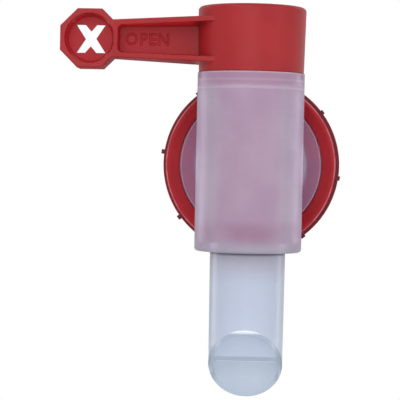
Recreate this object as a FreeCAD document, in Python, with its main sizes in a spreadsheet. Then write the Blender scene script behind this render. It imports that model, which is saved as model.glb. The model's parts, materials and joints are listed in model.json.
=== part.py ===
import FreeCAD, Part
import math
import os
import Sketcher

# A canister tap. Millimetres, +Z up, the tap's front faces -Y and the canister is at +Y.
# The origin is the centre of the gasket's rear face, on the axis of the ring nut.
# The tap body and the lever are drawn about the barrel's upright axis, where the barrel
# crosses the height of the inlet, and the two rings are drawn about their own axis.

SIZES = {
    # Barrel, the upright tube that the plug turns in
    "barrel_radius": 20.1,
    "barrel_wall": 2.1,
    "barrel_above_inlet": 34.3,
    "barrel_below_inlet": 32.5,
    "barrel_floor": 3.5,
    "barrel_foot_round": 1.2,
    "barrel_lead_in": 0.4,
    # Spout below the barrel, cut off at a slant that is longest at the back
    "spout_radius": 14.15,
    "spout_draft": 0.3,
    "spout_wall": 1.7,
    "spout_length": 42.8,
    "spout_cut_angle": 45.0,
    "partition_wall": 2.0,
    "partition_setback": 2.3,
    # Inlet behind the barrel, with the air way above the liquid way
    "inlet_radius": 17.5,
    "inlet_wall": 2.5,
    "inlet_gap": 6.9,
    "inlet_web_height": 7.0,
    "inlet_web_wall": 2.0,
    "flange_thickness": 2.5,
    "boss_step": 2.0,
    "boss_recess": 0.6,
    "boss_round": 0.7,
    "spigot_wall": 6.7,
    # Gasket, round the spigot at the back of the flange
    "gasket_thickness": 2.0,
    "gasket_inset": 0.3,
    "gasket_clearance": 0.3,
    # Plug
    "plug_clearance": 0.08,
    "plug_wall": 2.2,
    "plug_floor_gap": 0.3,
    "plug_chamfer": 0.5,
    "relief_depth": 0.5,
    "relief_angle": 150.0,
    "lower_land": 6.2,
    "upper_land": 12.4,
    "bead_below_rim": 5.9,
    "bead_height": 1.6,
    "bead_depth": 0.35,
    "bead_clearance": 0.15,
    # End stop, a key on the plug that runs in a slot under the barrel's rim
    "key_height": 2.0,
    "key_depth": 0.9,
    "key_angle": 20.0,
    "key_clearance": 0.2,
    "key_play_angle": 1.0,
    "lever_throw": 180.0,
    # Hub
    "hub_gap": 0.2,
    "hub_inset": 0.35,
    "hub_draft": 0.5,
    "hub_height": 24.5,
    "hub_round": 1.5,
    "hub_top_wall": 2.5,
    # Arm, an I section that narrows from the hub to the head
    "arm_rise": 11.7,
    "arm_root_distance": 12.5,
    "arm_root_sink": 0.27,
    "arm_root_height": 17.2,
    "arm_end_height": 14.1,
    "arm_end_depth": 12.6,
    "arm_rib": 1.75,
    "arm_web": 2.4,
    "arm_draft": 5.0,
    "arm_edge_round": 0.5,
    "arm_let_in": 3.2,
    "pocket_corner": 1.3,
    # Head
    "head_reach": 60.6,
    "head_width": 22.1,
    "head_depth": 13.0,
    "head_web": 3.0,
    "head_edge_round": 0.6,
    "recess_radius": 9.4,
    "recess_floor_radius": 8.2,
    "cross_width": 11.15,
    "cross_height": 10.6,
    "cross_stroke": 3.5,
    "cross_notch": 2.4,
    "cross_waist": 2.1,
    # Ring nut
    "thread_radius": 30.5,
    "ring_wall": 2.8,
    "ring_opening_clearance": 0.4,
    "ring_seat_step": 0.55,
    "ring_flange_clearance": 0.35,
    "ring_band_step": 2.1,
    "ring_band_height": 5.0,
    "ring_height": 22.0,
    "ring_front_wall": 2.5,
    "ring_dish": 0.7,
    "ring_front_round": 1.6,
    "ring_play": 0.3,
    "mouth_chamfer": 0.8,
    "grip_setback": 0.4,
    "grip_count": 80,
    "grip_height": 0.5,
    "grip_width": 1.3,
    "rib_count": 8,
    "rib_width": 1.75,
    "ring_turn": 7.6,
}


class Size:
    """A number that also knows the spreadsheet expression it comes from."""

    def __init__(self, value, text):
        self.value = float(value)
        self.text = text

    def __add__(self, other):
        other = as_size(other)
        return Size(self.value + other.value, f"({self.text} + {other.text})")

    def __sub__(self, other):
        other = as_size(other)
        return Size(self.value - other.value, f"({self.text} - {other.text})")

    def __mul__(self, other):
        other = as_size(other)
        return Size(self.value * other.value, f"({self.text} * {other.text})")

    def __truediv__(self, other):
        other = as_size(other)
        return Size(self.value / other.value, f"({self.text} / {other.text})")

    def __neg__(self):
        return Size(-self.value, f"(0 - {self.text})")

    def __radd__(self, other):
        return as_size(other) + self

    def __rsub__(self, other):
        return as_size(other) - self

    def __rmul__(self, other):
        return as_size(other) * self


def as_size(number):
    return number if isinstance(number, Size) else Size(number, str(float(number)))


def root(size):
    return Size(math.sqrt(size.value), f"sqrt({size.text})")


def tangent(angle):
    return Size(math.tan(math.radians(angle.value)), f"tan({angle.text} * 1 deg)")


# The spreadsheet, one row for each size

doc = FreeCAD.newDocument("canister_tap")
sheet = doc.addObject("Spreadsheet::Sheet", "Sizes")
for row, (alias, number) in enumerate(SIZES.items(), start=1):
    sheet.set(f"A{row}", alias)
    sheet.set(f"B{row}", str(number))
    sheet.setAlias(f"B{row}", alias)
doc.recompute()


class Sheet:
    """The cells of the spreadsheet, each under its own name."""

    def __init__(self, sizes):
        for alias, number in sizes.items():
            setattr(self, alias, Size(number, f"Sizes.{alias}"))


s = Sheet(SIZES)


# Sketches and features

def origin_part(body, role):
    return next(item for item in body.Origin.OriginFeatures if item.Role == role)


def bind(item, name, size):
    item.setExpression(name, size.text)


def new_sketch(body, name, plane, shift=None):
    """A sketch on an origin plane; shift gives the offsets across, up and off the plane."""
    sketch = body.newObject("Sketcher::SketchObject", name)
    sketch.AttachmentSupport = [(origin_part(body, plane), "")]
    sketch.MapMode = "FlatFace"
    for axis, size in (shift or {}).items():
        bind(sketch, f"AttachmentOffset.Base.{axis}", size)
    return sketch


def pin_point(sketch, geometry, end, across, up):
    """Hold one end of a sketch line at sizes from the sheet; a bare 0 is an axis."""
    for kind, size, axis in (("DistanceX", across, -2), ("DistanceY", up, -1)):
        if isinstance(size, Size):
            bound = Sketcher.Constraint(kind, -1, 1, geometry, end, size.value)
            index = sketch.addConstraint(bound)
            label = f"{kind}_{geometry}_{end}"
            sketch.renameConstraint(index, label)
            bind(sketch, f"Constraints.{label}", size)
        else:
            sketch.addConstraint(Sketcher.Constraint("PointOnObject", geometry, end, axis))


def outline(sketch, corners):
    """A closed outline. A corner is (across, up), or (across, up, radius) where a rounded
    stretch runs to the next corner, counter-clockwise about its centre."""
    points = [FreeCAD.Vector(as_size(c[0]).value, as_size(c[1]).value, 0) for c in corners]
    following = points[1:] + points[:1]
    for corner, start, end in zip(corners, points, following):
        if len(corner) == 2:
            sketch.addGeometry(Part.LineSegment(start, end))
            continue
        chord = end - start
        reach = math.sqrt(max(corner[2].value ** 2 - (chord.Length / 2) ** 2, 0))
        left = FreeCAD.Vector(-chord.y, chord.x, 0).normalize()
        centre = (start + end) / 2 + left * reach
        middle = centre - left * corner[2].value
        sketch.addGeometry(Part.Arc(start, middle, end))
    for index, corner in enumerate(corners):
        after = (index + 1) % len(corners)
        sketch.addConstraint(Sketcher.Constraint("Coincident", index, 2, after, 1))
        pin_point(sketch, index, 1, corner[0], corner[1])
        if len(corner) == 3:
            bound = sketch.addConstraint(Sketcher.Constraint("Radius", index, corner[2].value))
            sketch.renameConstraint(bound, f"round_{index}")
            bind(sketch, f"Constraints.round_{index}", corner[2])
    return sketch


def circle(sketch, radius):
    sketch.addGeometry(Part.Circle(FreeCAD.Vector(0, 0, 0), FreeCAD.Vector(0, 0, 1), radius.value))
    sketch.addConstraint(Sketcher.Constraint("Coincident", 0, 3, -1, 1))
    bound = sketch.addConstraint(Sketcher.Constraint("Radius", 0, radius.value))
    sketch.renameConstraint(bound, "circle_radius")
    bind(sketch, "Constraints.circle_radius", radius)
    return sketch


def rectangle(sketch, left, right, low, high):
    return outline(sketch, [(left, low), (right, low), (right, high), (left, high)])


def revolve(body, kind, name, sketch, axis, angle=None):
    """A Revolution or Groove about a sketch axis; a part turn is split evenly both ways."""
    feature = body.newObject(f"PartDesign::{kind}", name)
    feature.Profile = (sketch, [""])
    feature.ReferenceAxis = (sketch, [axis])
    feature.Angle = 360
    if angle is not None:
        feature.Midplane = True
        bind(feature, "Angle", angle)
    body.Tip = feature
    return feature


def extrude(body, kind, name, sketch, length, reverse=False, both_ways=False, taper=None):
    """A Pad or Pocket of a bound length."""
    feature = body.newObject(f"PartDesign::{kind}", name)
    feature.Profile = (sketch, [""])
    feature.Type = "Length"
    bind(feature, "Length", length)
    feature.Reversed = reverse
    feature.SideType = "Symmetric" if both_ways else "One side"
    if taper is not None:
        bind(feature, "TaperAngle", taper)
    body.Tip = feature
    return feature


def repeat_round(body, name, feature, count):
    pattern = body.newObject("PartDesign::PolarPattern", name)
    pattern.Originals = [feature]
    pattern.Axis = (origin_part(body, "Z_Axis"), [""])
    pattern.Angle = 360
    bind(pattern, "Occurrences", count)
    body.Tip = pattern
    return pattern


def mirror(body, name, feature, plane):
    mirrored = body.newObject("PartDesign::Mirrored", name)
    mirrored.Originals = [feature]
    mirrored.MirrorPlane = (origin_part(body, plane), [""])
    body.Tip = mirrored
    return mirrored


def round_edges(body, name, radius, chosen):
    """Round the edges of the body so far that chosen(edge) picks."""
    doc.recompute()
    base = body.Tip
    edges = [f"Edge{i}" for i, edge in enumerate(base.Shape.Edges, start=1) if chosen(edge)]
    feature = body.newObject("PartDesign::Fillet", name)
    feature.Base = (base, edges)
    bind(feature, "Radius", radius)
    body.Tip = feature
    return feature


def new_body(name):
    body = doc.addObject("PartDesign::Body", name)
    body.Label = name
    return body


# Places shared by the pieces, in the barrel's frame

bore_radius = s.barrel_radius - s.barrel_wall
plug_radius = bore_radius - s.plug_clearance
plug_bore_radius = plug_radius - s.plug_wall
rim = s.barrel_above_inlet
foot = -s.barrel_below_inlet
floor_top = foot + s.barrel_floor
plug_bottom = floor_top + s.plug_floor_gap
spout_tip_radius = s.spout_radius - s.spout_draft
spout_tip = foot - s.spout_length - spout_tip_radius * tangent(s.spout_cut_angle)
partition_front = -(s.partition_setback + s.partition_wall / 2)
partition_back = partition_front + s.partition_wall
passage_radius = s.inlet_radius - s.inlet_wall
web_low = s.inlet_web_height - s.inlet_web_wall / 2
web_high = web_low + s.inlet_web_wall
seat_radius = s.thread_radius - s.ring_seat_step
flange_radius = seat_radius - s.ring_flange_clearance
boss_radius = flange_radius - s.boss_step
spigot_radius = passage_radius + s.spigot_wall
ring_front = s.barrel_radius + s.inlet_gap
flange_front = ring_front + s.ring_front_wall + s.ring_play
flange_back = flange_front + s.flange_thickness
barrel_setback = flange_back + s.gasket_thickness
bead_middle = rim - s.bead_below_rim
hub_bottom = rim + s.hub_gap
hub_top = hub_bottom + s.hub_height
hub_radius = s.barrel_radius - s.hub_inset
arm_lift = hub_bottom + s.arm_rise


def bead_profile(radius, spare):
    """Corners of the snap bead, or of its groove when spare is its clearance."""
    half = s.bead_height / 2 + spare
    outer = radius + s.bead_depth + spare
    flank = s.bead_depth
    return [(radius, bead_middle + half), (outer, bead_middle + half - flank),
            (outer, bead_middle - half + flank), (radius, bead_middle - half)]


# Tap body: barrel, spout, inlet and flange in one moulding

def make_tap_body():
    body = new_body("tap_body")
    bind(body, "Placement.Base.y", -barrel_setback)

    sketch = new_sketch(body, "barrel_outside", "XZ_Plane")
    outline(sketch, [
        (0, spout_tip), (spout_tip_radius, spout_tip), (s.spout_radius, foot),
        (s.barrel_radius - s.barrel_foot_round, foot, s.barrel_foot_round),
        (s.barrel_radius, foot + s.barrel_foot_round), (s.barrel_radius, rim), (0, rim)])
    revolve(body, "Revolution", "barrel", sketch, "V_Axis")

    sketch = new_sketch(body, "inlet_outside", "YZ_Plane")
    boss_front = ring_front + s.boss_recess
    outline(sketch, [
        (0, 0), (barrel_setback, 0), (barrel_setback, spigot_radius),
        (flange_back, spigot_radius), (flange_back, flange_radius),
        (flange_front, flange_radius), (flange_front, boss_radius),
        (boss_front + s.boss_round, boss_radius, s.boss_round),
        (boss_front, boss_radius - s.boss_round), (boss_front, s.inlet_radius),
        (0, s.inlet_radius)])
    revolve(body, "Revolution", "inlet", sketch, "H_Axis")

    sketch = circle(new_sketch(body, "passage_outline", "XZ_Plane"), passage_radius)
    extrude(body, "Pocket", "passage", sketch, barrel_setback)

    # Web that parts the air way from the liquid way, let into the inlet's wall
    web_half = root(passage_radius * s.inlet_radius - web_high * web_high)
    sketch = new_sketch(body, "inlet_web_outline", "XZ_Plane")
    rectangle(sketch, -web_half, web_half, web_low, web_high)
    extrude(body, "Pad", "inlet_web", sketch, barrel_setback, reverse=True)

    spout_bore = s.spout_radius - s.spout_wall
    spout_tip_bore = spout_tip_radius - s.spout_wall
    sketch = new_sketch(body, "bore_outline", "XZ_Plane")
    outline(sketch, [
        (0, rim), (0, spout_tip), (spout_tip_bore, spout_tip), (spout_bore, floor_top),
        (bore_radius, floor_top)]
        + bead_profile(bore_radius, s.bead_clearance)[::-1]
        + [(bore_radius, rim - s.barrel_lead_in), (bore_radius + s.barrel_lead_in, rim)])
    revolve(body, "Groove", "bore", sketch, "V_Axis")

    # Slot for the end stop, behind the axis, as wide as the throw and the key together
    slot_angle = s.lever_throw + s.key_angle + s.key_play_angle
    slot_radius = plug_radius + s.key_depth + s.key_clearance
    sketch = new_sketch(body, "stop_slot_outline", "YZ_Plane")
    rectangle(sketch, plug_radius, slot_radius, rim - s.key_height - s.key_clearance, rim)
    revolve(body, "Groove", "stop_slot", sketch, "V_Axis", angle=slot_angle)

    # Partition down the spout, air in front and liquid behind, let into the spout's wall
    half = root(spout_tip_bore * spout_tip_radius - partition_front * partition_front)
    sketch = new_sketch(body, "partition_outline", "XY_Plane", {"z": floor_top})
    rectangle(sketch, -half, half, partition_front, partition_back)
    extrude(body, "Pad", "partition", sketch, floor_top - spout_tip, reverse=True)

    # Slanted end of the spout
    reach = s.spout_radius + s.spout_wall
    drop = reach * tangent(s.spout_cut_angle)
    middle = foot - s.spout_length
    sketch = new_sketch(body, "slant_outline", "YZ_Plane")
    outline(sketch, [(-reach, middle + drop), (-reach, middle - drop), (reach, middle - drop)])
    extrude(body, "Pocket", "slant", sketch, reach * 2, both_ways=True)
    return body


# Lever: hub, arm, head and plug in one moulding

def rounded_rectangle(sketch, across, up, turn):
    """A rectangle about the sketch's origin; across and up are half its sides."""
    return outline(sketch, [
        (turn - across, -up), (across - turn, -up, turn), (across, turn - up),
        (across, up - turn, turn), (across - turn, up), (turn - across, up, turn),
        (-across, up - turn), (-across, turn - up, turn)])


def add_arm(body):
    """An arm of I section that narrows from the hub and is let into the head's side."""
    arm_end = s.head_reach - s.head_width / 2
    sunk_radius = hub_radius - s.arm_root_sink
    root_depth = 2 * root(sunk_radius * sunk_radius - s.arm_root_distance * s.arm_root_distance)
    sections = []
    for name, distance, depth, height in (
            ("arm_root", s.arm_root_distance, root_depth, s.arm_root_height),
            ("arm_end", arm_end + s.arm_let_in, s.arm_end_depth, s.arm_end_height)):
        sketch = new_sketch(body, name, "YZ_Plane", {"z": -distance, "y": arm_lift})
        rounded_rectangle(sketch, depth / 2, height / 2, s.arm_edge_round)
        sections.append(sketch)
    loft = body.newObject("PartDesign::AdditiveLoft", "arm")
    loft.Profile = (sections[0], [""])
    loft.Sections = [(sections[1], [""])]
    loft.Ruled = True
    body.Tip = loft

    # Pockets in front of the web and behind it, wider at the face than at the web
    floor_slope = s.arm_end_depth / 2 * tangent(s.arm_draft)
    root_slope = root_depth / 2 * tangent(s.arm_draft)
    end_half = s.arm_end_height / 2 - s.arm_rib - floor_slope
    root_half = s.arm_root_height / 2 - s.arm_rib - root_slope
    left = -arm_end
    right = -s.arm_root_distance
    turn = s.pocket_corner
    sketch = new_sketch(body, "pocket_floor", "XZ_Plane", {"y": arm_lift, "z": s.arm_web / 2})
    outline(sketch, [
        (left, end_half - turn), (left, -(end_half - turn), turn), (left + turn, -end_half),
        (right, -root_half), (right, root_half), (left + turn, end_half, turn)])
    front = extrude(body, "Pocket", "pocket", sketch, root_depth / 2, reverse=True,
                    taper=s.arm_draft)
    mirror(body, "rear_pocket", front, "XZ_Plane")


def add_head(body):
    """An octagonal pad, flat side up, with its edges rounded."""
    place = {"x": -s.head_reach, "y": arm_lift}
    flat = s.head_width / 2
    side = flat * (math.sqrt(2) - 1)
    sketch = new_sketch(body, "head_outline", "XZ_Plane", place)
    outline(sketch, [(flat, -side), (flat, side), (side, flat), (-side, flat),
                     (-flat, side), (-flat, -side), (-side, -flat), (side, -flat)])
    extrude(body, "Pad", "head", sketch, s.head_depth, both_ways=True)
    face = s.head_depth / 2
    round_edges(body, "head_edges", s.head_edge_round,
                lambda edge: edge.BoundBox.YLength < 0.01
                and abs(abs(edge.CenterOfMass.y) - face.value) < 0.01)


def add_recess(body):
    """A round recess in each face of the head, and the cross cut through its web."""
    place = {"x": -s.head_reach, "y": arm_lift}
    face = s.head_depth / 2
    web = s.head_web / 2
    sketch = new_sketch(body, "recess_outline", "YZ_Plane", {"y": arm_lift, "z": -s.head_reach})
    outline(sketch, [(-face, 0), (-web, 0), (-web, s.recess_floor_radius),
                     (-face, s.recess_radius)])
    front = revolve(body, "Groove", "recess", sketch, "H_Axis")
    mirror(body, "rear_recess", front, "XZ_Plane")

    # Two crossed bars, cut through the web
    wide = s.cross_width / 2
    tall = s.cross_height / 2
    notch = tall - s.cross_notch
    inner = wide - s.cross_stroke
    sketch = new_sketch(body, "cross_outline", "XZ_Plane", place)
    outline(sketch, [
        (-wide, tall), (-s.cross_waist, 0), (-wide, -tall), (-inner, -tall), (0, -notch),
        (inner, -tall), (wide, -tall), (s.cross_waist, 0), (wide, tall), (inner, tall),
        (0, notch), (-inner, tall)])
    extrude(body, "Pocket", "cross_cut", sketch, s.head_depth, both_ways=True)


def add_hub_and_plug(body):
    top_radius = hub_radius + s.hub_draft
    sketch = new_sketch(body, "hub_outside", "XZ_Plane")
    outline(sketch, [
        (0, plug_bottom), (plug_radius - s.plug_chamfer, plug_bottom),
        (plug_radius, plug_bottom + s.plug_chamfer)]
        + bead_profile(plug_radius, as_size(0))[::-1]
        + [(plug_radius, hub_bottom), (hub_radius, hub_bottom),
           (top_radius, hub_top - s.hub_round, s.hub_round),
           (top_radius - s.hub_round, hub_top), (0, hub_top)])
    revolve(body, "Revolution", "hub", sketch, "V_Axis")

    # Relief on the plug's front between its two sealing lands
    sketch = new_sketch(body, "relief_outline", "YZ_Plane")
    inner = -(plug_radius - s.relief_depth)
    rectangle(sketch, -plug_radius, inner, plug_bottom + s.lower_land, rim - s.upper_land)
    revolve(body, "Groove", "relief", sketch, "V_Axis", angle=s.relief_angle)

    # Cavity, open at the bottom
    sketch = new_sketch(body, "cavity_outline", "XZ_Plane")
    rectangle(sketch, 0, plug_bore_radius, plug_bottom, hub_top - s.hub_top_wall)
    revolve(body, "Groove", "cavity", sketch, "V_Axis")

    # Round port in the plug's back, in line with the inlet
    sketch = circle(new_sketch(body, "port_outline", "XZ_Plane"), passage_radius)
    extrude(body, "Pocket", "port", sketch, s.barrel_radius)

    # Shelf and baffle that carry the two ways through the plug
    edge = root(plug_radius * plug_radius - partition_front * partition_front)
    sketch = new_sketch(body, "shelf_outline", "XY_Plane", {"z": web_low})
    outline(sketch, [(-edge, partition_front), (edge, partition_front, plug_radius),
                     (0, plug_radius, plug_radius)])
    extrude(body, "Pad", "shelf", sketch, s.inlet_web_wall)
    half = root(plug_bore_radius * plug_radius - partition_front * partition_front)
    sketch = new_sketch(body, "baffle_outline", "XY_Plane", {"z": plug_bottom})
    rectangle(sketch, -half, half, partition_front, partition_back)
    extrude(body, "Pad", "baffle", sketch, web_high - plug_bottom)

    # Key of the end stop, opposite the arm and at one end of its slot
    sketch = new_sketch(body, "key_outline", "XZ_Plane")
    rectangle(sketch, plug_bore_radius + s.plug_wall / 2, plug_radius + s.key_depth,
              rim - s.key_height, hub_bottom + s.hub_gap)
    revolve(body, "Revolution", "key", sketch, "V_Axis", angle=s.key_angle)


def make_lever_plug():
    body = new_body("lever_plug")
    bind(body, "Placement.Base.y", -barrel_setback)
    add_head(body)
    add_arm(body)
    add_recess(body)
    add_hub_and_plug(body)
    return body


# Ring nut, drawn about its own axis with +Z towards the canister

facing_back = FreeCAD.Placement(
    FreeCAD.Vector(0, 0, 0), FreeCAD.Rotation(FreeCAD.Vector(1, 0, 0), -90))


def make_ring_nut():
    body = new_body("ring_nut")
    front = ring_front - barrel_setback
    back = front + s.ring_height
    wall_back = front + s.ring_front_wall
    band_front = back - s.ring_band_height
    opening = boss_radius + s.ring_opening_clearance
    step = s.ring_band_step
    ring_radius = s.thread_radius + s.ring_wall
    band_radius = ring_radius + step
    sketch = new_sketch(body, "ring_section", "XZ_Plane")
    outline(sketch, [
        (opening, front + s.ring_dish), (ring_radius - s.ring_front_round, front,
                                         s.ring_front_round),
        (ring_radius, front + s.ring_front_round), (ring_radius, band_front),
        (band_radius, band_front + step), (band_radius, back),
        (s.thread_radius + s.mouth_chamfer, back), (s.thread_radius, back - s.mouth_chamfer),
        (s.thread_radius, 0), (seat_radius, 0), (seat_radius, wall_back), (opening, wall_back)])
    revolve(body, "Revolution", "ring", sketch, "V_Axis")

    # Fine grip, and the larger ribs that stand as high as the band
    low = front + s.ring_front_round + s.grip_setback
    root_radius = ring_radius - s.grip_height
    top_radius = ring_radius + s.grip_height
    sketch = new_sketch(body, "grip_outline", "XY_Plane", {"z": low})
    bind(sketch, "AttachmentOffset.Rotation.Angle", s.ring_turn)
    outline(sketch, [
        (root_radius, -s.grip_width / 2), (ring_radius, -s.grip_width / 2),
        (top_radius, -s.grip_width / 4), (top_radius, s.grip_width / 4),
        (ring_radius, s.grip_width / 2), (root_radius, s.grip_width / 2)])
    grip = extrude(body, "Pad", "grip", sketch, band_front - low + step)
    repeat_round(body, "grip_ring", grip, s.grip_count)
    sketch = new_sketch(body, "rib_outline", "XY_Plane", {"z": low})
    bind(sketch, "AttachmentOffset.Rotation.Angle", s.ring_turn)
    rectangle(sketch, root_radius, band_radius, -s.rib_width / 2, s.rib_width / 2)
    rib = extrude(body, "Pad", "rib", sketch, back - low)
    repeat_round(body, "rib_ring", rib, s.rib_count)
    body.Placement = facing_back
    return body


# Gasket, drawn the same way

def make_gasket():
    body = new_body("gasket")
    sketch = new_sketch(body, "gasket_section", "XZ_Plane")
    rectangle(sketch, spigot_radius + s.gasket_clearance, flange_radius - s.gasket_inset,
              -s.gasket_thickness, 0)
    revolve(body, "Revolution", "gasket_ring", sketch, "V_Axis")
    body.Placement = facing_back
    return body


# Build, check and write one file for each piece

bodies = [make_tap_body(), make_lever_plug(), make_ring_nut(), make_gasket()]
doc.recompute()
for item in doc.Objects:
    if "Invalid" in item.State or "Error" in item.State:
        raise RuntimeError(f"{item.Label} did not compute: {item.State}")
os.makedirs("parts", exist_ok=True)
for body in bodies:
    shape = body.Shape
    if shape.isNull() or not shape.isValid() or len(shape.Solids) != 1:
        raise RuntimeError(f"{body.Label} is not one valid solid")
    shape.exportStep(f"parts/{body.Label}.step")
    print(f"{body.Label}: {shape.Volume / 1000:.2f} cm3, {len(shape.Faces)} faces")
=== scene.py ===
import json
import math

import bmesh
import bpy
from mathutils import Matrix, Quaternion, Vector


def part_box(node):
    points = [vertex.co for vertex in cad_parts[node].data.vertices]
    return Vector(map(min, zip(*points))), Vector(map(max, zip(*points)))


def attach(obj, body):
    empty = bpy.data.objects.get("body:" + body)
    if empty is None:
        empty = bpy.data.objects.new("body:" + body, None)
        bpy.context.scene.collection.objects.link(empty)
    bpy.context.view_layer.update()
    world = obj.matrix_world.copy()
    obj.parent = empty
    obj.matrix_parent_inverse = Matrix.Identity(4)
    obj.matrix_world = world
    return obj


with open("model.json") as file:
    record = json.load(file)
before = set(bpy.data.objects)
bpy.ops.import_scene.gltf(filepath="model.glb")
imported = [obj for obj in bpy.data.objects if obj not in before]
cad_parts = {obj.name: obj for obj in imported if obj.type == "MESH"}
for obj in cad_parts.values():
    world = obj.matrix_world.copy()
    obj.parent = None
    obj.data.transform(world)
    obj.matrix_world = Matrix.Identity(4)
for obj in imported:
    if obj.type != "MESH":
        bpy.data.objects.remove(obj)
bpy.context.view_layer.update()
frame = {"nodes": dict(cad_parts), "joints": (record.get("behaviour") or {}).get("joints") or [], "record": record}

# A canister tap: a frosted body with a red lever, ring nut and gasket. Metres, in the CAD frame.

MM = 0.001

body_low, body_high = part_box("tap_body")
ring_low, ring_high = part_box("ring_nut")
lever_joint = next(joint for joint in frame["joints"] if joint["name"] == "lever_turn")
barrel_axis = Vector(lever_joint["pos_m"])
thread_mount = frame["record"]["mounts"][0]["dims"]


def rgb(red, green, blue):
    """A colour read as sRGB, 0 to 255, in the linear form that sockets take."""
    linear = []
    for level in (red, green, blue):
        share = level / 255
        linear.append(share / 12.92 if share <= 0.04045 else ((share + 0.055) / 1.055) ** 2.4)
    return (*linear, 1.0)


WHITE = rgb(255, 255, 255)
BLACK = rgb(0, 0, 0)

# Camera, from the front and a little to the right of the barrel
CAMERA_PLACE = Vector((10.1, -681.4, 0.4)) * MM
CAMERA_TARGET = Vector((-18.3, -34.3, -13.6)) * MM
CAMERA_LEAN = math.radians(1.18)
CAMERA_LENS = 154.8
CAMERA_SENSOR = 36.0
CAMERA_REACH = 20.0

# Soft boxes that face the object, each with its name, place, size and power
LAMPS = (
    ("key_box", (-0.5, -1.4, 0.8), 1.0, 7.2),
    ("front_box", (0.1, -1.6, -0.1), 0.8, 5.2),
    ("fill_box", (1.2, -0.9, 0.4), 1.0, 3.4),
)

# Floor and surroundings
FLOOR_DROP = 0.07
FLOOR_HALF = 6.0
FLOOR_FAR_SHOWS = (0.16, 0.42)
FLOOR_DEEP = rgb(240, 240, 241)
FLOOR_PALE = rgb(246, 246, 246)
SURROUND_LEVEL = 0.62

# A range named SHOWS is where a shade comes in or fades out. On the body, heights are set from
# the barrel's rim and foot and from the spout's tip.
RIM = body_high.z
FOOT = RIM - 66.8 * MM
TIP = body_low.z

# The barrel, over the plug's bead, its upper and lower lands and the barrel's solid floor, with a painted
# highlight along the rim's top edge and painted highlights where the plug's bead and land edge lie behind the wall
RIM_HIGHLIGHT_SHOWS = (RIM - 0.8 * MM, RIM - 0.2 * MM)
LAND_EDGE_LINE = RIM - 2.9 * MM
TOP_LAND_SHOWS = (RIM - 5.8 * MM, RIM - 3.3 * MM)
BEAD_LINE = RIM - 5.9 * MM
BEAD_SHOWS = (0.25 * MM, 0.6 * MM)
LOW_LAND_SHOWS = (FOOT + 8.0 * MM, FOOT + 13.0 * MM)
FLOOR_SHOWS = (FOOT + 1.0 * MM, FOOT + 6.5 * MM)
MIDDLE_SHOWS = (4.0 * MM, 12.0 * MM)
SIDE_LINE = 14.0 * MM
SIDE_SHOWS = (1.0 * MM, 4.5 * MM)
BARREL_DEEP = rgb(202, 175, 206)
BARREL_PALE = rgb(213, 194, 220)
BARREL_STREAK = rgb(196, 176, 204)
BARREL_MIDDLE = rgb(196, 170, 196)
BARREL_SIDE = rgb(212, 208, 224)
BARREL_RIM_HIGHLIGHT = rgb(222, 194, 210)
BARREL_FLOOR = rgb(178, 170, 188)
PLUG_LOW_LAND = rgb(184, 150, 179)
PLUG_TOP_LAND = rgb(194, 158, 190)
PLUG_BEAD_HIGHLIGHT = rgb(236, 216, 236)
PLUG_LAND_EDGE_HIGHLIGHT = rgb(228, 210, 226)

# The spout, down from a painted shadow line under the barrel to its slant-cut lip, painted darker towards the tip
# as shade for its dim inside
SPOUT_SHOWS = (FOOT - 0.5 * MM, FOOT + 0.1 * MM)
ROOT_SHADOW_SHOWS = (FOOT - 1.5 * MM, FOOT - 0.5 * MM)
SPOUT_HEAD_SHOWS = (FOOT - 13.5 * MM, FOOT - 0.5 * MM)
SPOUT_TIP_SHOWS = (TIP + 11.2 * MM, TIP + 23.2 * MM)
SPOUT_END_SHOWS = (TIP + 0.2 * MM, TIP + 8.2 * MM)
SPOUT_PALE = rgb(214, 222, 238)
SPOUT_HEAD = rgb(202, 198, 214)
SPOUT_TIP_SHADE = rgb(183, 197, 215)
SPOUT_END_SHADE = rgb(166, 184, 204)
SPOUT_PATCH = rgb(220, 224, 236)
SPOUT_ROOT_SHADOW = rgb(120, 118, 134)

# The cut face, whose height and depth add up to the lip's plane, painted in shade and darker low down;
# a painted glint at the top of the lip, which glows, and a painted highlight on the rear edge of the partition
LIP_PLANE = barrel_axis.y - 75.3 * MM
LIP_DEPTH = 0.4 * MM
CUT_SHOWS = (TIP + 11.2 * MM, TIP + 25.2 * MM)
PAINTED_GLINT_SHOWS = (TIP + 26.2 * MM, TIP + 27.6 * MM)
PARTITION_EDGE = barrel_axis.y - 1.3 * MM
PARTITION_EDGE_SHOWS = (0.15 * MM, 0.45 * MM)
PARTITION_ENDS = (10.5 * MM, 11.5 * MM)
CUT_SHADED_LOW = rgb(176, 192, 211)
CUT_SHADED_HIGH = rgb(202, 213, 228)
PAINTED_GLINT = rgb(250, 253, 255)
GLINT_GLOW = rgb(140, 144, 148)

# The neck behind the barrel, and the disc that the ring nut frames, with the spigot behind it; the disc is tinted
# by the ring nut's red behind it and painted in shade, and its rim has a painted highlight
NECK_SHOWS = (barrel_axis.y + 17.8 * MM, barrel_axis.y + 19.8 * MM)
DISC_SHOWS = (ring_low.y - 2.7 * MM, ring_low.y - 0.5 * MM)
SPIGOT_SHOWS = (20.5 * MM, 23.5 * MM)
DISC_EDGE_HIGHLIGHT_SHOWS = (26.9 * MM, 27.4 * MM)
NECK = rgb(172, 160, 184)
DISC_SHADE_DEEP = rgb(168, 112, 146)
DISC_SHADE_PALE = rgb(182, 114, 140)
DISC_EDGE_HIGHLIGHT = rgb(226, 176, 196)
SPIGOT = rgb(158, 144, 168)

# How far the frosted plastic bends light and lets it through, where it is thin and thick
FROSTED_IOR = 1.22
THIN_CLEARNESS = 0.4
THICK_CLEARNESS = 0.2
INNER_CLEAR = rgb(242, 247, 255)

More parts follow.
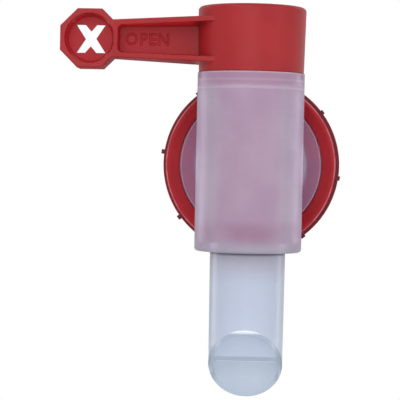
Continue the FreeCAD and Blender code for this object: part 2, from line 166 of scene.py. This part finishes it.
# Noise, by how many times it repeats in a metre
RED_CLOUDS = 70.0
RED_GRAIN = 2200.0
RING_PATCHES = 160.0
FROSTED_CLOUDS = 75.0
FROSTED_STREAKS = (25.0, 25.0, 420.0)
FROSTED_GRAIN = 1500.0
RUBBER_CLOUDS = 300.0
RUBBER_GRAIN = 3000.0
FLOOR_CLOUDS = 3.0

# The grain that bump gives to every moulding, and the red plastic's softened edges, which are
# painted paler, both as rubbing wear and as a painted highlight, where the softened and the true face look apart
GRAIN_DEPTH = 0.1 * MM
EDGE_ROUND = 0.3 * MM
EDGE_SAMPLES = 6
WEAR_AND_HIGHLIGHT_SHOWS = (0.75, 0.99)

# The lever: its arm, the recesses by their depth either side of the middle, their walls and the
# underside by the way they face, and the roof of each pocket by its height; recesses, walls and roofs are painted
# lit, the underside is painted in shade
ARM_SHOWS = (-23.0 * MM, -20.0 * MM)
HEAD_SHOWS = (-51.0 * MM, -49.0 * MM)
RECESS_SHOWS = (3.0 * MM, 5.5 * MM)
RECESS_RIM_SHOWS = (5.0 * MM, 6.0 * MM)
WALL_SHOWS = (0.35, 0.6)
DOWNWARD_SHOWS = (-0.8, -0.5)
ROOF_SHOWS = (44.0 * MM, 46.0 * MM)
ROOF_LIGHT_SHOWS = (2.0 * MM, 5.0 * MM)
LEVER_DEEP = rgb(155, 29, 34)
LEVER_PALE = rgb(163, 33, 38)
LEVER_WEAR_AND_HIGHLIGHT = rgb(200, 76, 82)
LEVER_RECESS_LIT = rgb(168, 20, 32)
LEVER_WALL_LIT = rgb(182, 32, 42)
LEVER_ROOF_LIT = rgb(214, 42, 46)
LEVER_UNDERSIDE_SHADE = rgb(120, 14, 24)
LEVER_GLOSS = 0.28

# The ring nut: its front edge with a painted highlight, and the cone up to its band and the ends of its ribs in
# painted shade
RING_HIGHLIGHT_LINE = 32.95 * MM
RING_HIGHLIGHT_SHOWS = (0.1 * MM, 0.35 * MM)
RING_FACE_SHOWS = (ring_low.y + 1.4 * MM, ring_low.y + 1.9 * MM)
BAND_FRONT = ring_high.y - 5.0 * MM
CONE_FRONT_SHOWS = (BAND_FRONT - 0.2 * MM, BAND_FRONT)
CONE_BACK_SHOWS = (BAND_FRONT + 2.2 * MM, BAND_FRONT + 2.6 * MM)
CONE_INNER_SHOWS = (33.3 * MM, 33.4 * MM)
CONE_OUTER_SHOWS = (34.9 * MM, 35.3 * MM)
RIB_END_SHOWS = (ring_low.y + 2.1 * MM, ring_low.y + 2.3 * MM)
RIB_FOOT_SHOWS = (33.4 * MM, 33.7 * MM)
RING_DEEP = rgb(160, 14, 28)
RING_PALE = rgb(170, 20, 34)
RING_WEAR_AND_HIGHLIGHT = rgb(212, 92, 98)
RING_EDGE_HIGHLIGHT = rgb(226, 124, 132)
RING_SHADE = rgb(84, 2, 26)
RING_GLOSS = 0.25

# The gasket
RUBBER_DEEP = rgb(140, 44, 44)
RUBBER_PALE = rgb(152, 52, 50)

# The raised word on the arm's web, in the middle of the web's height
WEB_HALF = 1.2 * MM
WORD_LEFT = -47.3 * MM
WORD_RIGHT = -31.3 * MM
WORD_FOOT = 44.35 * MM
WORD_TOP = 48.5 * MM
WORD_LINE = 0.24 * MM
WORD_OFFSET = 0.008
WORD_SPACING = 1.17

# The thread's turns in the ring nut's bore
THREAD_PITCH = 4.5 * MM
THREAD_CREST = 29.3 * MM
THREAD_LAND = 0.55 * MM
THREAD_FOOT = 1.6 * MM
THREAD_SINK = 0.1 * MM
THREAD_START = 2.2 * MM
THREAD_TURNS = 2.1
THREAD_STEPS = 72
THREAD_FADE = 10

# Sockets of the Mix node for colours
MIX_FIRST = 6
MIX_SECOND = 7
MIX_COLOUR = 2


class Value:
    """A number on a shader socket, so that Python's arithmetic adds Math nodes."""

    def __init__(self, finish, socket):
        self.finish = finish
        self.socket = socket

    def __add__(self, other):
        return self.finish.maths("ADD", self, other)

    def __radd__(self, other):
        return self.finish.maths("ADD", other, self)

    def __sub__(self, other):
        return self.finish.maths("SUBTRACT", self, other)

    def __rsub__(self, other):
        return self.finish.maths("SUBTRACT", other, self)

    def __mul__(self, other):
        return self.finish.maths("MULTIPLY", self, other)

    def __rmul__(self, other):
        return self.finish.maths("MULTIPLY", other, self)

    def __abs__(self):
        return self.finish.maths("ABSOLUTE", self)


class Finish:
    """A material or world in the making, and the one way that its nodes are added."""

    def __init__(self, owner):
        self.owner = owner
        owner.use_nodes = True
        self.tree = owner.node_tree
        self.tree.nodes.clear()

    def node(self, kind, settings=None, sockets=None, output=0):
        """Adds a node, sets it up, fills its sockets and gives one of its outputs."""
        made = self.tree.nodes.new("ShaderNode" + kind)
        for name, setting in (settings or {}).items():
            setattr(made, name, setting)
        for name, content in (sockets or {}).items():
            if isinstance(content, Value):
                self.tree.links.new(content.socket, made.inputs[name])
            else:
                made.inputs[name].default_value = content
        return Value(self, made.outputs[output])

    def maths(self, operation, *numbers):
        """A Math node on numbers or values."""
        return self.node("Math", {"operation": operation}, dict(enumerate(numbers)))

    def larger(self, first, second):
        return self.maths("MAXIMUM", first, second)

    def place(self):
        return self.node("TexCoord", output="Object")

    def along(self, axis):
        """How far along X, Y or Z a point lies."""
        return self.node("SeparateXYZ", {}, {"Vector": self.place()}, axis)

    def facing(self, axis):
        """How far a face looks along X, Y or Z, from -1 to 1."""
        flat = self.node("NewGeometry", output="True Normal")
        return self.node("SeparateXYZ", {}, {"Vector": flat}, axis)

    def from_ring_axis(self):
        """How far a point lies from the ring nut's axis."""
        across = self.node("VectorMath", {"operation": "MULTIPLY"},
                           {0: self.place(), 1: (1.0, 0.0, 1.0)})
        return self.node("VectorMath", {"operation": "LENGTH"}, {0: across}, "Value")

    def noise(self, scale, detail=2.0):
        return self.node("TexNoise", {}, {"Vector": self.place(), "Scale": scale,
                                          "Detail": detail})

    def stretched_noise(self, scales):
        """Noise with its own scale along each axis."""
        stretched = self.node("Mapping", {}, {"Vector": self.place(), "Scale": scales})
        return self.node("TexNoise", {}, {"Vector": stretched, "Scale": 1.0, "Detail": 2.0})

    def clouds(self, scale, detail, low=0.3, high=0.7):
        """Noise with more contrast, 0 in its hollows and 1 on its tops."""
        return self.spread(self.noise(scale, detail), low, high)

    def spread(self, value, low, high, to_low=0.0, to_high=1.0):
        """The value carried smoothly from one range to another."""
        return self.node("MapRange", {"interpolation_type": "SMOOTHSTEP"},
                         {"Value": value, "From Min": low, "From Max": high,
                          "To Min": to_low, "To Max": to_high})

    def fade(self, value, low, high):
        """1 up to the range, falling smoothly to 0 past it."""
        return 1.0 - self.spread(value, low, high)

    def line(self, value, middle, inner, outer):
        """1 on a line where the value is at its middle, fading to 0 on either side."""
        return self.fade(abs(value - middle), inner, outer)

    def blend(self, share, first, second):
        """A colour between two colours."""
        return self.node("Mix", {"data_type": "RGBA"},
                         {"Factor": share, MIX_FIRST: first, MIX_SECOND: second}, MIX_COLOUR)

    def paint(self, colour, *coats):
        """The colour under coats, each with the share that it covers and its own colour."""
        for share, coat in coats:
            colour = self.blend(share, colour, coat)
        return colour

    def bump(self, height, strength, **sockets):
        return self.node("Bump", {}, {"Strength": strength, "Distance": GRAIN_DEPTH,
                                      "Height": height, **sockets})

    def show(self, shader, kind="OutputMaterial"):
        made = self.tree.nodes.new("ShaderNode" + kind)
        self.tree.links.new(shader.socket, made.inputs["Surface"])
        return self.owner


# Finishes

def red_finish(name, deep, pale, edge_wear_and_highlight, gloss, shades):
    """Satin red plastic, with flow clouds, a fine grain, and softened edges painted paler, both as rubbing wear
    and as a painted highlight.
    """
    finish = Finish(bpy.data.materials.new(name))
    clouds = finish.clouds(RED_CLOUDS, 3.0)
    grain = finish.noise(RED_GRAIN, 3.0)
    soft_edge = finish.node("Bevel", {"samples": EDGE_SAMPLES}, {"Radius": EDGE_ROUND})
    flat = finish.node("NewGeometry", output="True Normal")
    flatness = finish.node("VectorMath", {"operation": "DOT_PRODUCT"},
                           {0: soft_edge, 1: flat}, "Value")
    # Paler edges: rubbing wear and a painted highlight together
    wear_and_highlight = finish.fade(flatness, *WEAR_AND_HIGHLIGHT_SHOWS) * (0.25 + 0.5 * clouds)
    colour = finish.paint(finish.blend(clouds, deep, pale), (wear_and_highlight, edge_wear_and_highlight))
    colour, roughness = shades(finish, colour, 0.4 + 0.12 * grain)
    return finish.show(finish.node("BsdfPrincipled", {}, {
        "Base Color": colour, "Roughness": roughness, "Specular IOR Level": gloss,
        "Normal": finish.bump(grain, 0.12, Normal=soft_edge)}))


def lever_shades(finish, colour, roughness):
    """The arm's pockets and the head's recesses are painted a brighter, deeper red for the light that
    reaches them, their walls and each pocket's roof are painted lit, and the underside is painted in shade, dark
    and dull."""
    across = finish.along("X")
    height = finish.along("Z")
    from_middle = abs(finish.along("Y") - barrel_axis.y)
    arm = finish.fade(across, *ARM_SHOWS)
    recess_light = arm * finish.fade(from_middle, *RECESS_SHOWS)
    # The walls' mask, for painted light on the recesses' side walls
    wall = finish.fade(abs(finish.facing("Y")), *WALL_SHOWS)
    wall = arm * wall * finish.fade(from_middle, *RECESS_RIM_SHOWS)
    downward = arm * finish.fade(finish.facing("Z"), *DOWNWARD_SHOWS)
    roof_light = downward * finish.spread(height, *ROOF_SHOWS) * finish.spread(across, *HEAD_SHOWS)
    roof_light = roof_light * finish.spread(from_middle, *ROOF_LIGHT_SHOWS)
    shaded_underside = downward * finish.fade(height, *ROOF_SHOWS)
    # Painted light in the recesses, on their walls and on each roof, and painted shade underneath
    colour = finish.paint(colour, (recess_light, LEVER_RECESS_LIT), (wall, LEVER_WALL_LIT),
                          (roof_light, LEVER_ROOF_LIT), (0.5 * shaded_underside, LEVER_UNDERSIDE_SHADE))
    return colour, roughness + 0.25 * shaded_underside


def ring_shades(finish, colour, roughness):
    """The front edge has a painted highlight all round, and painted shade darkens the cone and the ribs' ends."""
    radius = finish.from_ring_axis()
    depth = finish.along("Y")
    patches = finish.clouds(RING_PATCHES, 2.0, 0.35, 0.6)
    edge_highlight = finish.line(radius, RING_HIGHLIGHT_LINE, *RING_HIGHLIGHT_SHOWS)
    edge_highlight = edge_highlight * finish.fade(depth, *RING_FACE_SHOWS)
    shaded_cone = finish.spread(depth, *CONE_FRONT_SHOWS) * finish.fade(depth, *CONE_BACK_SHOWS)
    shaded_cone = shaded_cone * finish.spread(radius, *CONE_INNER_SHOWS)
    shaded_cone = shaded_cone * finish.fade(radius, *CONE_OUTER_SHOWS)
    shaded_rib_end = finish.fade(depth, *RIB_END_SHOWS) * finish.spread(radius, *RIB_FOOT_SHOWS)
    # Painted highlight on the front edge, painted shade on the cone and the ribs' ends
    colour = finish.paint(colour, (edge_highlight * (0.25 + 0.45 * patches), RING_EDGE_HIGHLIGHT),
                          (0.9 * finish.larger(shaded_cone, shaded_rib_end), RING_SHADE))
    return colour, roughness


def barrel_colour(finish, height, aside, patches):
    """Mauve over the plug, whose lands show as bands and whose bead and land edge show as painted highlight lines,
    greyer at the sides, with a painted highlight along the rim.
    """
    middle = finish.fade(aside, *MIDDLE_SHOWS)
    low_land = finish.fade(height, *LOW_LAND_SHOWS) * (1.0 - 0.5 * patches)
    return finish.paint(
        finish.blend(patches, BARREL_DEEP, BARREL_PALE),
        (0.3 * finish.stretched_noise(FROSTED_STREAKS), BARREL_STREAK),
        (0.35 * middle, BARREL_MIDDLE),
        (0.35 * finish.line(aside, SIDE_LINE, *SIDE_SHOWS), BARREL_SIDE),
        (low_land * (0.5 + 0.5 * middle), PLUG_LOW_LAND),
        (0.8 * finish.spread(height, *TOP_LAND_SHOWS), PLUG_TOP_LAND),
        # Painted highlights: pale lines where the plug's bead and land edge lie behind the wall
        (0.4 * finish.line(height, BEAD_LINE, *BEAD_SHOWS), PLUG_BEAD_HIGHLIGHT),
        (0.3 * finish.line(height, LAND_EDGE_LINE, *BEAD_SHOWS), PLUG_LAND_EDGE_HIGHLIGHT),
        # Painted highlight along the rim's top edge
        (finish.spread(height, *RIM_HIGHLIGHT_SHOWS), BARREL_RIM_HIGHLIGHT),
        (finish.fade(height, *FLOOR_SHOWS), BARREL_FLOOR))


def spout_colour(finish, height, patches):
    """Blue-grey, warmer near the barrel, painted deeper towards the tip as shade for the dim inside, with a
    painted shadow line under the barrel.
    """
    return finish.paint(
        finish.blend(finish.spread(height, *SPOUT_HEAD_SHOWS), SPOUT_PALE, SPOUT_HEAD),
        # Painted shade: darker towards the tip and its end, for the dim inside seen through the wall
        (finish.fade(height, *SPOUT_TIP_SHOWS), SPOUT_TIP_SHADE),
        (finish.fade(height, *SPOUT_END_SHOWS), SPOUT_END_SHADE),
        (0.25 * patches, SPOUT_PATCH),
        # Painted shadow: a dark line where the spout meets the barrel's foot
        (finish.spread(height, *ROOT_SHADOW_SHOWS), SPOUT_ROOT_SHADOW))


def frosted_finish():
    """Milky plastic, which takes up the red of the plug and the ring nut behind it, with painted highlights, a
    glowing painted glint, and painted shade.
    """
    finish = Finish(bpy.data.materials.new("translucent_plastic"))
    aside = abs(finish.along("X"))
    depth = finish.along("Y")
    height = finish.along("Z")
    radius = finish.from_ring_axis()
    patches = finish.clouds(FROSTED_CLOUDS, 4.0)
    above_spout = finish.spread(height, *SPOUT_SHOWS)
    neck = finish.spread(depth, *NECK_SHOWS)
    disc = finish.spread(depth, *DISC_SHOWS)
    # The disc is painted in shade from the barrel in front and the dark hollow behind, and is tinted by the ring
    # nut's red
    disc_shade_colour = finish.paint(finish.blend(patches, DISC_SHADE_DEEP, DISC_SHADE_PALE),
                               (finish.fade(radius, *SPIGOT_SHOWS), SPIGOT))
    # The cut face is painted in shade, darker low down, so that it stays no brighter than the spout
    lip = finish.fade(height + depth, LIP_PLANE, LIP_PLANE + LIP_DEPTH)
    cut_shade = finish.blend(finish.spread(height, *CUT_SHOWS), CUT_SHADED_LOW, CUT_SHADED_HIGH)
    # A painted highlight on the partition's rear edge, and a painted glint at the top of the lip
    partition_highlight = finish.line(depth, PARTITION_EDGE, *PARTITION_EDGE_SHOWS)
    partition_highlight = partition_highlight * finish.fade(aside, *PARTITION_ENDS)
    top_of_lip = finish.spread(height, *PAINTED_GLINT_SHOWS)
    painted_glint_share = lip * finish.larger(top_of_lip, 0.3 * partition_highlight)
    colour = finish.paint(
        finish.blend(above_spout, spout_colour(finish, height, patches),
                     barrel_colour(finish, height, aside, patches)),
        (neck, NECK),
        (disc, disc_shade_colour),
        # A painted highlight round the disc's rounded rim
        (0.6 * (disc * finish.spread(radius, *DISC_EDGE_HIGHLIGHT_SHOWS)), DISC_EDGE_HIGHLIGHT),
        (lip, cut_shade),
        (painted_glint_share, PAINTED_GLINT))
    grain = finish.noise(FROSTED_GRAIN, 3.0)
    surface = {"Base Color": colour, "Roughness": 0.42 + 0.1 * grain,
               "Normal": finish.bump(grain, 0.15), "IOR": FROSTED_IOR}
    # The thin plastic glows where the glint is painted
    thin = finish.node("BsdfPrincipled", {}, {
        **surface, "Transmission Weight": THIN_CLEARNESS,
        "Emission Color": finish.blend(painted_glint_share, BLACK, GLINT_GLOW), "Emission Strength": 1.0})
    thick = finish.node("BsdfPrincipled", {}, {
        **surface, "Transmission Weight": THICK_CLEARNESS})
    clear = finish.node("BsdfPrincipled", {}, {
        "Base Color": INNER_CLEAR, "Roughness": 0.15, "IOR": FROSTED_IOR,
        "Transmission Weight": 1.0})
    floor = above_spout * finish.fade(height, *FLOOR_SHOWS)
    milky = finish.node("MixShader", {}, {0: finish.larger(floor, neck), 1: thin, 2: thick})
    leaving = finish.node("NewGeometry", output="Backfacing")
    return finish.show(finish.node("MixShader", {}, {0: leaving, 1: milky, 2: clear}))


def rubber_finish():
    """Matt red-brown rubber with a dusty bloom."""
    finish = Finish(bpy.data.materials.new("gasket_rubber"))
    clouds = finish.clouds(RUBBER_CLOUDS, 3.0)
    return finish.show(finish.node("BsdfPrincipled", {}, {
        "Base Color": finish.blend(clouds, RUBBER_DEEP, RUBBER_PALE),
        "Roughness": 0.6 + 0.15 * clouds,
        "Normal": finish.bump(finish.noise(RUBBER_GRAIN, 2.0), 0.3)}))


def background_rays(finish):
    """1 for rays that should meet a plain white background, from the eye or off or through
    a surface."""
    eye, glossy, through = (finish.node("LightPath", output=f"Is {kind} Ray")
                            for kind in ("Camera", "Glossy", "Transmission"))
    return finish.larger(eye, finish.larger(glossy, through))


def floor_finish():
    """White far off, and pale near the object, where it keeps the shadow."""
    finish = Finish(bpy.data.materials.new("floor_white"))
    distance = finish.node("VectorMath", {"operation": "LENGTH"}, {0: finish.place()}, "Value")
    far = finish.spread(distance, *FLOOR_FAR_SHOWS)
    colour = finish.blend(finish.noise(FLOOR_CLOUDS, 2.0), FLOOR_DEEP, FLOOR_PALE)
    matt = finish.node("BsdfPrincipled", {}, {"Base Color": colour, "Roughness": 0.8})
    white = finish.node("Emission", {}, {"Color": WHITE, "Strength": 1.0})
    share = far * background_rays(finish)
    return finish.show(finish.node("MixShader", {}, {0: share, 1: matt, 2: white}))


# Pieces

def dress(node, material):
    """Gives a CAD node its finish."""
    for slot in frame["nodes"][node].material_slots:
        slot.material = material


def finished_piece(name, mesh, material, body):
    piece = bpy.data.objects.new(name, mesh)
    bpy.context.scene.collection.objects.link(piece)
    piece.data.materials.append(material)
    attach(piece, body)
    return piece


def make_lettering(material):
    """The word on the front of the arm's web, raised in thin lines round each letter."""
    word = bpy.data.curves.new("lettering", "FONT")
    word.body = "OPEN"
    word.fill_mode = "NONE"
    word.offset = WORD_OFFSET
    word.space_character = WORD_SPACING
    holder = bpy.data.objects.new("lettering", word)
    bpy.context.scene.collection.objects.link(holder)
    outlines = bpy.data.meshes.new_from_object(holder)
    across = [point.co.x for point in outlines.vertices]
    up = [point.co.y for point in outlines.vertices]
    wide = (WORD_RIGHT - WORD_LEFT) / (max(across) - min(across))
    tall = (WORD_TOP - WORD_FOOT) / (max(up) - min(up))
    bpy.data.meshes.remove(outlines)
    word.bevel_depth = WORD_LINE / tall
    word.bevel_resolution = 1
    lines = bpy.data.meshes.new_from_object(holder)
    bpy.data.objects.remove(holder)
    lines.transform(Matrix.Translation((-min(across), -min(up), 0)))
    lines.transform(Matrix.Diagonal((wide, tall, tall, 1)))
    lines.transform(Matrix.Rotation(math.pi / 2, 4, "X"))
    lines.transform(Matrix.Translation((WORD_LEFT, barrel_axis.y - WEB_HALF, WORD_FOOT)))
    lines.materials.clear()
    finished_piece("lettering", lines, material, "lever")


def make_thread(material):
    """The thread's turns, which stand in from the ring nut's bore and fade out at both ends."""
    wall = thread_mount["r_mm"] * MM + THREAD_SINK
    section = ((wall, -THREAD_FOOT), (THREAD_CREST, -THREAD_LAND),
               (THREAD_CREST, THREAD_LAND), (wall, THREAD_FOOT))
    steps = round(THREAD_TURNS * THREAD_STEPS)
    thread = bmesh.new()
    corners = [thread.verts.new((reach, THREAD_START + along, 0)) for reach, along in section]
    profile = thread.faces.new(corners)
    bmesh.ops.spin(thread, geom=[profile] + profile.edges[:] + corners, cent=(0, 0, 0),
                   axis=(0, 1, 0), dvec=(0, THREAD_PITCH / THREAD_STEPS, 0),
                   angle=2 * math.pi * THREAD_TURNS, steps=steps, use_merge=False)
    thread.verts.ensure_lookup_table()
    for index, corner in enumerate(thread.verts):
        step = index // len(section)
        height = min(1.0, step / THREAD_FADE, (steps - step) / THREAD_FADE)
        reach = math.hypot(corner.co.x, corner.co.z)
        spread = (wall - (wall - reach) * height) / reach
        corner.co = (corner.co.x * spread, corner.co.y, corner.co.z * spread)
    bmesh.ops.recalc_face_normals(thread, faces=thread.faces)
    mesh = bpy.data.meshes.new("thread")
    thread.to_mesh(mesh)
    thread.free()
    finished_piece("thread", mesh, material, "ring")


# Stage, light and camera

def make_floor():
    plane = bmesh.new()
    bmesh.ops.create_grid(plane, x_segments=1, y_segments=1, size=FLOOR_HALF)
    mesh = bpy.data.meshes.new("floor")
    plane.to_mesh(mesh)
    plane.free()
    floor = bpy.data.objects.new("floor", mesh)
    bpy.context.scene.collection.objects.link(floor)
    floor.location = (0, 0, body_low.z - FLOOR_DROP)
    floor.data.materials.append(floor_finish())


def make_surroundings():
    world = bpy.data.worlds.new("studio")
    bpy.context.scene.world = world
    finish = Finish(world)
    level = finish.spread(background_rays(finish), 0.0, 1.0, SURROUND_LEVEL, 1.0)
    finish.show(finish.node("Background", {}, {"Color": WHITE, "Strength": level}),
                "OutputWorld")


def make_lamp(name, place, size, power):
    """A square soft box that faces the object."""
    light = bpy.data.lights.new(name, "AREA")
    light.shape = "SQUARE"
    light.size = size
    light.energy = power
    holder = bpy.data.objects.new(name, light)
    bpy.context.scene.collection.objects.link(holder)
    holder.location = place
    holder.rotation_euler = (-Vector(place)).to_track_quat("-Z", "Y").to_euler()


def make_camera():
    camera = bpy.data.cameras.new("camera")
    camera.lens = CAMERA_LENS
    camera.sensor_width = CAMERA_SENSOR
    camera.clip_end = CAMERA_REACH
    holder = bpy.data.objects.new("camera", camera)
    bpy.context.scene.collection.objects.link(holder)
    look = (CAMERA_TARGET - CAMERA_PLACE).to_track_quat("-Z", "Y")
    holder.location = CAMERA_PLACE
    holder.rotation_euler = (look @ Quaternion((0, 0, 1), CAMERA_LEAN)).to_euler()
    bpy.context.scene.camera = holder


# The whole scene

lever_red = red_finish("lever_red", LEVER_DEEP, LEVER_PALE, LEVER_WEAR_AND_HIGHLIGHT, LEVER_GLOSS,
                       lever_shades)
ring_red = red_finish("ring_red", RING_DEEP, RING_PALE, RING_WEAR_AND_HIGHLIGHT, RING_GLOSS, ring_shades)
dress("lever_plug", lever_red)
dress("ring_nut", ring_red)
dress("tap_body", frosted_finish())
dress("gasket", rubber_finish())
make_lettering(lever_red)
make_thread(ring_red)

make_floor()
make_surroundings()
for lamp in LAMPS:
    make_lamp(*lamp)
make_camera()

bpy.context.scene.view_settings.view_transform = "Standard"
